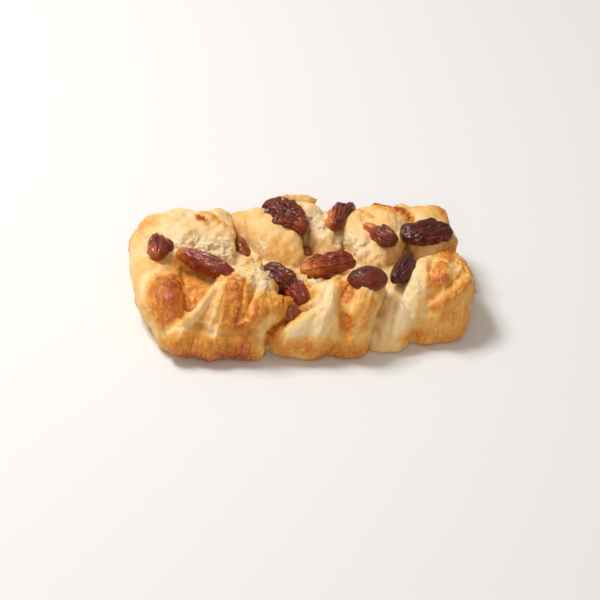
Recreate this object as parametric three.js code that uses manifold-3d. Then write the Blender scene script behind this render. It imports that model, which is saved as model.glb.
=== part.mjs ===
// Maple pecan plait: a flaky pastry whose side strips fold up and over a sticky filling,
// with ten pieces of pecan sunk in the top. Millimetres, +X along the plait, the near
// side towards -Y, +Z up, resting on its flat baked underside.

import * as THREE from 'three';
import { mergeVertices } from 'three/addons/utils/BufferGeometryUtils.js';
import Module from 'manifold-3d';

const wasm = await Module();
wasm.setup();

// Driving dimensions
const LENGTH = 140;
const WIDTH = 84;
const GAP = 0.3;
const FOOT_Z = -7;
const CROWN_AT = 0.6;
const WALL_POWER = 0.78;
const SECTION_POWER = 0.8;
const CAP = { foot: 0.1, tip: 0.24 };
const BASE = { half: [0.44 * LENGTH, 0.41 * WIDTH], middle: 5, rise: 14, squareness: 0.6, flatness: 0.4 };
const WELD = 0.001;
const SOCKET_SWELL = GAP + 0.2;
const PLAN_MIDDLE = { x: 0.02, y: -0.34 };
const FACETS = { base: [24, 10], well: [8, 8], socket: [10, 8], pecan: [12, 12] };

const LOOKS = {
  dough: { color: 0xe0b672, roughness: 0.55, metalness: 0 },
  filling: { color: 0x7d3f1e, roughness: 0.3, metalness: 0 },
  pecan: { color: 0x5b2a1b, roughness: 0.35, metalness: 0 },
};

// The uneven baked surface, as a sum of waves: lift in millimetres, and along each
// axis the length of a wave in millimetres and its phase in radians
const CRAGS = [
  { lift: 0.7, length: [16, 18.5, 16.5], phase: [1.3, 0.4, 0] },
  { lift: 0.45, length: [6.8, 7.6, 10], phase: [0, 2.1, 0.7] },
];

// One row for each fold of dough. foot: where it leaves the base; crown: the highest
// point of its middle line; tip: where it ends near the middle of the plait.
// half: half widths and thick: half thicknesses at foot, crown and tip; roll: how far
// the crown and tip lean sideways, in degrees; grooves: [across, depth, spread], where
// across is -1 to 1 and spread has the same unit.
const FOLDS = {
  near_left: {
    foot: [-45, -31], crown: [-29, -18, 19.5], tip: [-20, 0, 20],
    half: [20, 14, 10], thick: [9, 8.5, 5], roll: [-10, -12],
    grooves: [[-0.5, 2.2, 0.16], [0.2, 1.8, 0.16]], rings: 20, sides: 22,
  },
  near_left_lobe: {
    foot: [-30, -32.5], crown: [-19, -25, 16], tip: [-14, -19, 16.5],
    half: [8, 8, 6], thick: [8, 7, 6], roll: [8, 10],
    grooves: [], rings: 12, sides: 12,
  },
  near_middle: {
    foot: [-3, -33.5], crown: [17, -22, 19.5], tip: [26, -9, 17],
    half: [25, 13, 9], thick: [9, 8, 6], roll: [-12, -6],
    grooves: [[0.25, 3.2, 0.17], [-0.45, 1.2, 0.2]], rings: 20, sides: 24,
  },
  middle_flap: {
    foot: [0, -29], crown: [2, -18, 17.5], tip: [4, -8, 18.5],
    half: [6, 6, 5], thick: [6, 5, 3.5], roll: [10, 10],
    grooves: [], rings: 12, sides: 10,
  },
  near_valley: {
    foot: [31, -31], crown: [36, -21, 12], tip: [41, -6, 15],
    half: [9, 8, 8], thick: [8, 7, 5], roll: [0, 0],
    grooves: [], rings: 11, sides: 10,
  },
  near_right: {
    foot: [48, -25.5], crown: [56, -15, 18.5], tip: [63, 5, 18.5],
    half: [17, 13.5, 8], thick: [9, 8.5, 6], roll: [6, 6],
    grooves: [[-0.4, 2, 0.2], [0.35, 1, 0.2]], rings: 20, sides: 20,
  },
  far_left: {
    foot: [-48, 32], crown: [-46, 26, 22], tip: [-33, 3, 16],
    half: [19, 19, 12], thick: [9, 9, 6], roll: [0, 0],
    grooves: [[-0.2, 0.8, 0.3]], rings: 18, sides: 16,
  },
  far_under: {
    foot: [-22, 28], crown: [-19, 18, 13], tip: [-14, 5, 12.5],
    half: [5, 5, 5], thick: [6, 6, 5], roll: [0, 0],
    grooves: [], rings: 10, sides: 8,
  },
  far_second: {
    foot: [-17, 32], crown: [-12, 26, 21.5], tip: [-2, 1, 16.5],
    half: [12, 11, 8], thick: [9, 8.5, 6.5], roll: [0, 0],
    grooves: [], rings: 18, sides: 14,
  },
  far_peak: {
    foot: [6, 34], crown: [5, 30, 26], tip: [4, 26, 27],
    half: [6, 6, 5], thick: [6, 5, 3], roll: [0, 0],
    grooves: [], rings: 10, sides: 10,
  },
  far_hollow: {
    foot: [12, 31], crown: [12, 26, 18], tip: [13, 7, 13],
    half: [9, 8, 7], thick: [9, 8, 5], roll: [0, 0],
    grooves: [], rings: 11, sides: 10,
  },
  far_fourth: {
    foot: [34, 32], crown: [35, 26, 21], tip: [31, -2, 17],
    half: [16, 15, 9], thick: [9, 8.5, 6], roll: [0, 0],
    grooves: [[0.3, 1.2, 0.2]], rings: 18, sides: 16,
  },
  far_curl: {
    foot: [48, 33], crown: [47, 28, 23], tip: [43, 21, 24],
    half: [6, 6, 5], thick: [6, 6, 4], roll: [0, 0],
    grooves: [], rings: 10, sides: 10,
  },
  far_right: {
    foot: [57, 31], crown: [58, 26, 21.5], tip: [57, 2, 15],
    half: [11, 10, 9], thick: [9, 8, 6], roll: [0, 0],
    grooves: [], rings: 16, sides: 14,
  },
  end_roll: {
    foot: [-56, -25], crown: [-60, -16, 12.5], tip: [-61, 39, 17],
    half: [8, 9, 9.5], thick: [8, 8.5, 9], roll: [0, 0],
    grooves: [], rings: 18, sides: 14,
  },
  end_knob: {
    foot: [-57, -24], crown: [-58, -21, 13.5], tip: [-58, -10, 14],
    half: [8, 8, 8], thick: [8, 7.5, 7], roll: [0, 0],
    grooves: [], rings: 14, sides: 12,
  },
};

// Where the filling wells up between the folds. at: middle; size: length, width and
// height; turn: how far the length is turned from +X, in degrees.
const WELLS = [
  { at: [0, 3, 10], size: [100, 22, 10], turn: 0 },
  { at: [-23, 17, 14], size: [24, 8, 11], turn: 95 },
  { at: [3, 13, 14], size: [18, 9, 11], turn: 80 },
  { at: [19, 15, 13.5], size: [18, 7, 11], turn: 75 },
  { at: [0, -11, 15], size: [34, 17, 11], turn: 25 },
];

// The pecans. at: middle of the nut; size: length, width and height; turn: yaw, pitch
// and roll in degrees; cleft: depth of the groove along it, as a share of the height.
const PECANS = [
  { at: [-59.5, 12, 24.5], size: [17, 10, 8], turn: [80, 0, 0], cleft: 0.2 },
  { at: [-42, -1, 24], size: [28, 10, 9], turn: [-42, 0, 0], cleft: 0.15 },
  { at: [-4, 25, 29.5], size: [23, 15, 9], turn: [-62, 0, 0], cleft: 0.25 },
  { at: [20, 27, 26.5], size: [21, 10, 9], turn: [58, 0, 0], cleft: 0.25 },
  { at: [35, 11, 27.5], size: [19, 9, 7], turn: [-55, 0, 0], cleft: 0.4 },
  { at: [55, 12, 27], size: [24, 15, 8], turn: [8, 0, 0], cleft: 0.3 },
  { at: [9, -6, 24.5], size: [25, 11, 8], turn: [12, 0, 0], cleft: 0.25 },
  { at: [23, -21, 27], size: [17, 13, 8], turn: [5, 0, 0], cleft: 0 },
  { at: [41, -10, 24], size: [21, 10, 8], turn: [58, 0, 0], cleft: 0.4 },
  { at: [-11, -16, 23], size: [25, 12, 10], turn: [-60, 0, 0], cleft: 0.25 },
];
const PECAN_END_POWER = 0.8;
const CLEFT_SPREAD = 0.28;

const radians = THREE.MathUtils.degToRad;
const mix = THREE.MathUtils.lerp;

// A sphere with its seam and poles merged, ready to be bent into any closed body
function closedSphere(sides, rings) {
  const sphere = new THREE.SphereGeometry(1, sides, rings);
  sphere.deleteAttribute('normal');
  sphere.deleteAttribute('uv');
  return mergeVertices(sphere);
}

function bend(geometry, place) {
  const position = geometry.attributes.position;
  for (let i = 0; i < position.count; i++) {
    const moved = place(new THREE.Vector3().fromBufferAttribute(position, i));
    position.setXYZ(i, moved.x, moved.y, moved.z);
  }
  return geometry;
}

function toSolid(geometry) {
  return new wasm.Manifold(new wasm.Mesh({
    numProp: 3,
    vertProperties: new Float32Array(geometry.attributes.position.array),
    triVerts: new Uint32Array(geometry.index.array),
  }));
}

function geometryOf(mesh) {
  const geometry = new THREE.BufferGeometry();
  geometry.setAttribute('position', new THREE.BufferAttribute(mesh.vertProperties, 3));
  geometry.setIndex(new THREE.BufferAttribute(mesh.triVerts, 1));
  return geometry;
}

// A solid as a mesh with its nearest points welded, in one shell, moved so that the
// plait's middle in plan is the origin
function toGeometry(solid) {
  const moved = geometryOf(solid.getMesh()).translate(-PLAN_MIDDLE.x, -PLAN_MIDDLE.y, 0);
  const mesh = toSolid(mergeVertices(moved, WELD)).getMesh();
  const geometry = geometryOf(mesh);
  geometry.setIndex(outerShell(mesh.vertProperties, mesh.triVerts));
  return geometry;
}

// The triangles of the shell that holds most: pockets sealed between folds are filled
// and loose scraps dropped
function outerShell(points, triangles) {
  const parent = Array.from({ length: points.length / 3 }, (_, i) => i);
  const rootOf = (i) => {
    while (parent[i] !== i) {
      parent[i] = parent[parent[i]];
      i = parent[i];
    }
    return i;
  };
  for (let t = 0; t < triangles.length; t += 3) {
    parent[rootOf(triangles[t + 1])] = rootOf(triangles[t]);
    parent[rootOf(triangles[t + 2])] = rootOf(triangles[t]);
  }
  const corner = (t) => new THREE.Vector3().fromArray(points, 3 * triangles[t]);
  const shells = new Map();
  for (let t = 0; t < triangles.length; t += 3) {
    const root = rootOf(triangles[t]);
    const shell = shells.get(root) ?? { volume: 0, index: [] };
    shell.volume += corner(t).dot(corner(t + 1).cross(corner(t + 2))) / 6;
    shell.index.push(triangles[t], triangles[t + 1], triangles[t + 2]);
    shells.set(root, shell);
  }
  return [...shells.values()].sort((a, b) => b.volume - a.volume)[0].index;
}

function signedPower(value, power) {
  return Math.sign(value) * Math.pow(Math.abs(value), power);
}

// A value that runs smoothly through three stations: foot, crown and tip
function through([foot, crown, tip], u) {
  const t = u < CROWN_AT ? u / CROWN_AT : (u - CROWN_AT) / (1 - CROWN_AT);
  const ease = t * t * (3 - 2 * t);
  return u < CROWN_AT ? mix(foot, crown, ease) : mix(crown, tip, ease);
}

// The middle line of a fold: an arch up from the foot to the crown, then on to the tip
function foldPoint({ foot, crown, tip }, u) {
  if (u < CROWN_AT) {
    const angle = (u / CROWN_AT) * Math.PI / 2;
    const out = Math.pow(Math.cos(angle), WALL_POWER);
    const up = Math.pow(Math.sin(angle), WALL_POWER);
    const x = mix(foot[0], crown[0], u / CROWN_AT);
    return new THREE.Vector3(x, mix(crown[1], foot[1], out), mix(FOOT_Z, crown[2], up));
  }
  const t = (u - CROWN_AT) / (1 - CROWN_AT);
  return new THREE.Vector3(
    mix(crown[0], tip[0], t),
    mix(crown[1], tip[1], t),
    mix(crown[2], tip[2], t * t),
  );
}

// How full a fold is along its length: round at both ends, 1 between them
function fullness(u) {
  const short = Math.max(1 - u / CAP.foot, 1 - (1 - u) / CAP.tip, 0);
  return Math.sqrt(Math.max(0, 1 - short ** 2));
}

// How far the crags lift the surface at a point
function crags(point) {
  return CRAGS.reduce((sum, { lift, length, phase }) => {
    const waves = point.toArray().map((x, k) => Math.sin(2 * Math.PI * x / length[k] + phase[k]));
    return sum + lift * waves[0] * waves[1] * waves[2];
  }, 0);
}

// A unit sphere bent along a fold: its poles become the foot and the tip, and across
// runs towards +X on the near side and towards -X on the far side
function foldGeometry(fold) {
  const outward = Math.sign(fold.foot[1]);
  return bend(closedSphere(fold.sides, fold.rings), (ball) => {
    const u = Math.acos(THREE.MathUtils.clamp(-ball.y, -1, 1)) / Math.PI;
    const around = Math.atan2(ball.z, ball.x);
    const side = signedPower(Math.cos(around), SECTION_POWER);
    const top = signedPower(Math.sin(around), SECTION_POWER);
    const step = 0.01;
    const ahead = foldPoint(fold, Math.min(1, u + step));
    ahead.sub(foldPoint(fold, Math.max(0, u - step))).normalize();
    const across = new THREE.Vector3(1, 0, 0).addScaledVector(ahead, -ahead.x);
    across.normalize().multiplyScalar(-outward);
    const outer = new THREE.Vector3().crossVectors(across, ahead);
    const roll = radians(through([0, ...fold.roll], u));
    across.applyAxisAngle(ahead, roll);
    outer.applyAxisAngle(ahead, roll);
    let thick = through(fold.thick, u);
    if (top > 0) {
      for (const [at, depth, spread] of fold.grooves) {
        thick -= depth * Math.exp(-(((side - at) / spread) ** 2));
      }
    }
    const full = fullness(u);
    const point = foldPoint(fold, u);
    point.addScaledVector(across, through(fold.half, u) * full * side);
    point.addScaledVector(outer, thick * full * top);
    return point.addScaledVector(outer, crags(point) * full * top);
  });
}

// The base: the middle sheet of dough, a low loaf with square shoulders
function baseGeometry() {
  const sphere = closedSphere(...FACETS.base);
  sphere.rotateX(Math.PI / 2);
  return bend(sphere, (ball) => {
    const flat = Math.hypot(ball.x, ball.y);
    const corner = Math.max(Math.abs(ball.x), Math.abs(ball.y)) || 1;
    const square = mix(1, flat / corner, BASE.squareness);
    return new THREE.Vector3(
      ball.x * square * BASE.half[0],
      ball.y * square * BASE.half[1],
      BASE.middle + signedPower(ball.z, BASE.flatness) * BASE.rise,
    );
  });
}

function wellGeometry({ at, size, turn }, swell) {
  const sphere = closedSphere(...FACETS.well);
  sphere.rotateZ(-Math.PI / 2);
  const [length, width, height] = size;
  sphere.scale(length / 2 + swell, width / 2 + swell, height / 2 + swell);
  sphere.rotateZ(radians(turn));
  return sphere.translate(...at);
}

// A pecan half: blunt ends, two lobes and a cleft between them
function pecanGeometry({ at, size, turn, cleft }, swell, facets) {
  const sphere = closedSphere(...facets);
  sphere.rotateZ(-Math.PI / 2);
  bend(sphere, (ball) => {
    const around = Math.hypot(ball.y, ball.z) || 1;
    const full = Math.pow(around, PECAN_END_POWER) / around;
    const lobes = ball.z > 0 ? 1 - cleft * Math.exp(-((ball.y / CLEFT_SPREAD) ** 2)) : 1;
    return new THREE.Vector3(
      ball.x * (size[0] / 2 + swell),
      ball.y * full * (size[1] / 2 + swell),
      ball.z * full * lobes * (size[2] / 2 + swell),
    );
  });
  sphere.rotateX(radians(turn[2]));
  sphere.rotateY(radians(turn[1]));
  sphere.rotateZ(radians(turn[0]));
  return sphere.translate(...at);
}

// Everything below the table
function groundSolid() {
  const box = new THREE.BoxGeometry(2 * LENGTH, 2 * WIDTH, LENGTH);
  box.deleteAttribute('normal');
  box.deleteAttribute('uv');
  return toSolid(mergeVertices(box).translate(0, 0, -LENGTH / 2));
}

function joined(geometries) {
  return geometries.map(toSolid).reduce((whole, piece) => whole.add(piece));
}

function cutAway(solid, geometries) {
  return geometries.map(toSolid).reduce((left, piece) => left.subtract(piece), solid);
}

const group = new THREE.Group();

function addNode(name, geometry, look) {
  const mesh = new THREE.Mesh(geometry, new THREE.MeshStandardMaterial(look));
  mesh.name = name;
  group.add(mesh);
}

const sockets = PECANS.map((pecan) => pecanGeometry(pecan, SOCKET_SWELL, FACETS.socket));
const folds = Object.values(FOLDS).map(foldGeometry);
const wells = WELLS.map((well) => wellGeometry(well, 0));
const swollenWells = WELLS.map((well) => wellGeometry(well, GAP));

const plait = joined([baseGeometry(), ...folds]).subtract(groundSolid());
addNode('dough', toGeometry(cutAway(plait, [...swollenWells, ...sockets])), LOOKS.dough);
addNode('filling', toGeometry(cutAway(joined(wells), sockets)), LOOKS.filling);
PECANS.forEach((pecan, index) => {
  const name = `pecan_${String(index + 1).padStart(2, '0')}`;
  addNode(name, toGeometry(toSolid(pecanGeometry(pecan, 0, FACETS.pecan))), LOOKS.pecan);
});

export default group;
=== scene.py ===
# Maple pecan plait: flaky folded dough over a sticky filling, with ten glazed pecans.
# The shapes are worked out in millimetres, with +X along the plait and the near side
# towards -Y, and written into the frame in metres.

import math
from collections import namedtuple

import bpy
import numpy as np
from mathutils import Matrix, Vector, kdtree


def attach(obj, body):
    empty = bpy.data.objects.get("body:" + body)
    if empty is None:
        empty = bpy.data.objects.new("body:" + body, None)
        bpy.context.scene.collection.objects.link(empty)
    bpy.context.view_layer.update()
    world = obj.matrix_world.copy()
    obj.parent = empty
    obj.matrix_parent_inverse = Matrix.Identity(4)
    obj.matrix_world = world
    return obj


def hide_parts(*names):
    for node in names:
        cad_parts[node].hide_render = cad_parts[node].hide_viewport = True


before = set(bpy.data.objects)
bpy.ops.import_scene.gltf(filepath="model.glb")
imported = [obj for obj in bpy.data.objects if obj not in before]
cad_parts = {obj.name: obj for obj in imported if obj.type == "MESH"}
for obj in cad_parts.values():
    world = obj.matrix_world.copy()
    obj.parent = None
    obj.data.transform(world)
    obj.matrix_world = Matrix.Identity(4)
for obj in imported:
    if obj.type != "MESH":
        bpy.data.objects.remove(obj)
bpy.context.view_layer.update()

MM = 0.001
SEED = 11
# The middle of the solids in plan, where the frame has its origin
PLAN_MIDDLE = np.array([0.02, -0.34, 0.0])

# What shapes every fold, as in the solids
FOOT_Z = -7.0
CROWN_AT = 0.6
WALL_POWER = 0.78
SECTION_POWER = 0.8
CAP_FOOT = 0.1
CAP_TIP = 0.24
BASE = {"half": (61.6, 34.4), "middle": 5.0, "rise": 14.0, "squareness": 0.6, "flatness": 0.4}

CRAGS = (
    {"lift": 0.7, "length": (16, 18.5, 16.5), "phase": (1.3, 0.4, 0)},
    {"lift": 0.45, "length": (6.8, 7.6, 10), "phase": (0, 2.1, 0.7)},
)

# Each fold of dough, from its foot at the base over its crown to its tip. half and thick
# are half sizes at foot, crown and tip. relief says how deep the pleats, layer edges,
# blisters and torn ends are, and bake how browned the fold is. roll is in degrees at
# crown and tip, and each groove is (across, depth, spread).
Fold = namedtuple(
    "Fold", "foot crown tip half thick relief bake roll grooves", defaults=((0, 0), ()))
FOLDS = {
    "near_left": Fold((-45, -31), (-29, -18, 19.5), (-20, 0, 20), (20, 14, 10), (9, 8.5, 5),
        (1.1, 1, 0.5, 1), 0.25, (-10, -12), ((-0.5, 2.2, 0.16), (0.2, 1.8, 0.16))),
    "near_left_lobe": Fold((-30, -32.5), (-19, -25, 16), (-14, -19, 16.5), (8, 8, 6), (8, 7, 6),
        (0.4, 0.3, 0.4, 0), 0.22, (8, 10)),
    "near_middle": Fold((-3, -33.5), (17, -22, 19.5), (26, -9, 17), (25, 13, 9), (9, 8, 6),
        (0.9, 0.8, 0.4, 0), 0.24, (-12, -6), ((0.25, 3.2, 0.17), (-0.45, 1.2, 0.2))),
    "middle_flap": Fold((0, -29), (2, -18, 17.5), (4, -8, 18.5), (6, 6, 5), (6, 5, 3.5),
        (0.4, 0.4, 0.2, 1), 0.2, (10, 10)),
    "near_valley": Fold((31, -31), (36, -21, 12), (41, -6, 15), (9, 8, 8), (8, 7, 5),
        (0.4, 0.3, 0.2, 0.2), 0.08),
    "near_right": Fold((48, -25.5), (56, -15, 18.5), (63, 5, 18.5), (17, 13.5, 8), (9, 8.5, 6),
        (0.8, 1, 0.9, 0.2), 0.27, (6, 6), ((-0.4, 2, 0.2), (0.35, 1, 0.2))),
    "far_left": Fold((-48, 32), (-46, 26, 22), (-33, 3, 16), (19, 19, 12), (9, 9, 6),
        (0.25, 0.3, 0.2, 0.7), 0.12, (0, 0), ((-0.2, 0.8, 0.3),)),
    "far_under": Fold((-22, 28), (-19, 18, 13), (-14, 5, 12.5), (5, 5, 5), (6, 6, 5),
        (0.2, 0, 0.1, 0.2), 0.14),
    "far_second": Fold((-17, 32), (-12, 26, 21.5), (-2, 1, 16.5), (12, 11, 8), (9, 8.5, 6.5),
        (0.2, 0.15, 0.15, 0), 0.2),
    "far_peak": Fold((6, 34), (5, 30, 26), (4, 26, 27), (6, 6, 5), (6, 5, 3),
        (0.2, 0.3, 0.1, 0.3), 0.12),
    "far_hollow": Fold((12, 31), (12, 26, 18), (13, 7, 13), (9, 8, 7), (9, 8, 5),
        (0.3, 0.2, 0.1, 0.4), 0.2),
    "far_fourth": Fold((34, 32), (35, 26, 21), (31, -2, 17), (16, 15, 9), (9, 8.5, 6),
        (0.3, 0.4, 0.2, 0.5), 0.2, (0, 0), ((0.3, 1.2, 0.2),)),
    "far_curl": Fold((48, 33), (47, 28, 23), (43, 21, 24), (6, 6, 5), (6, 6, 4),
        (0.2, 0.4, 0.1, 0.2), 0.1),
    "far_right": Fold((57, 31), (58, 26, 21.5), (57, 2, 15), (11, 10, 9), (9, 8, 6),
        (0.25, 0.3, 0.2, 0), 0.16),
    # The end roll's bake is partly browned crust, partly painted shade on the left end wall
    "end_roll": Fold((-56, -25), (-60, -16, 12.5), (-61, 39, 17), (8, 9, 9.5), (8, 8.5, 9),
        (0.3, 0.2, 0.2, 0), 0.27),
    "end_knob": Fold((-57, -24), (-58, -21, 13.5), (-58, -10, 14), (8, 8, 8), (8, 7.5, 7),
        (0.1, 0, 0.15, 0), 0.3),
}

# Where the filling wells up: middle, size and turn about +Z in degrees. The first five
# are as in the solids, and the last two only fill dark gaps between the folds.
WELLS = (
    ((0, 3, 10), (100, 22, 10), 0),
    ((-23, 17, 14), (24, 8, 11), 95),
    ((3, 13, 14), (18, 9, 11), 80),
    ((19, 15, 13.5), (18, 7, 11), 75),
    ((0, -11, 15), (34, 17, 11), 25),
    ((-6.5, -25.5, 16.8), (20, 11, 10), 50),
    ((-23.6, 19, 15.5), (18, 8, 13), 95),
)
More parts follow.
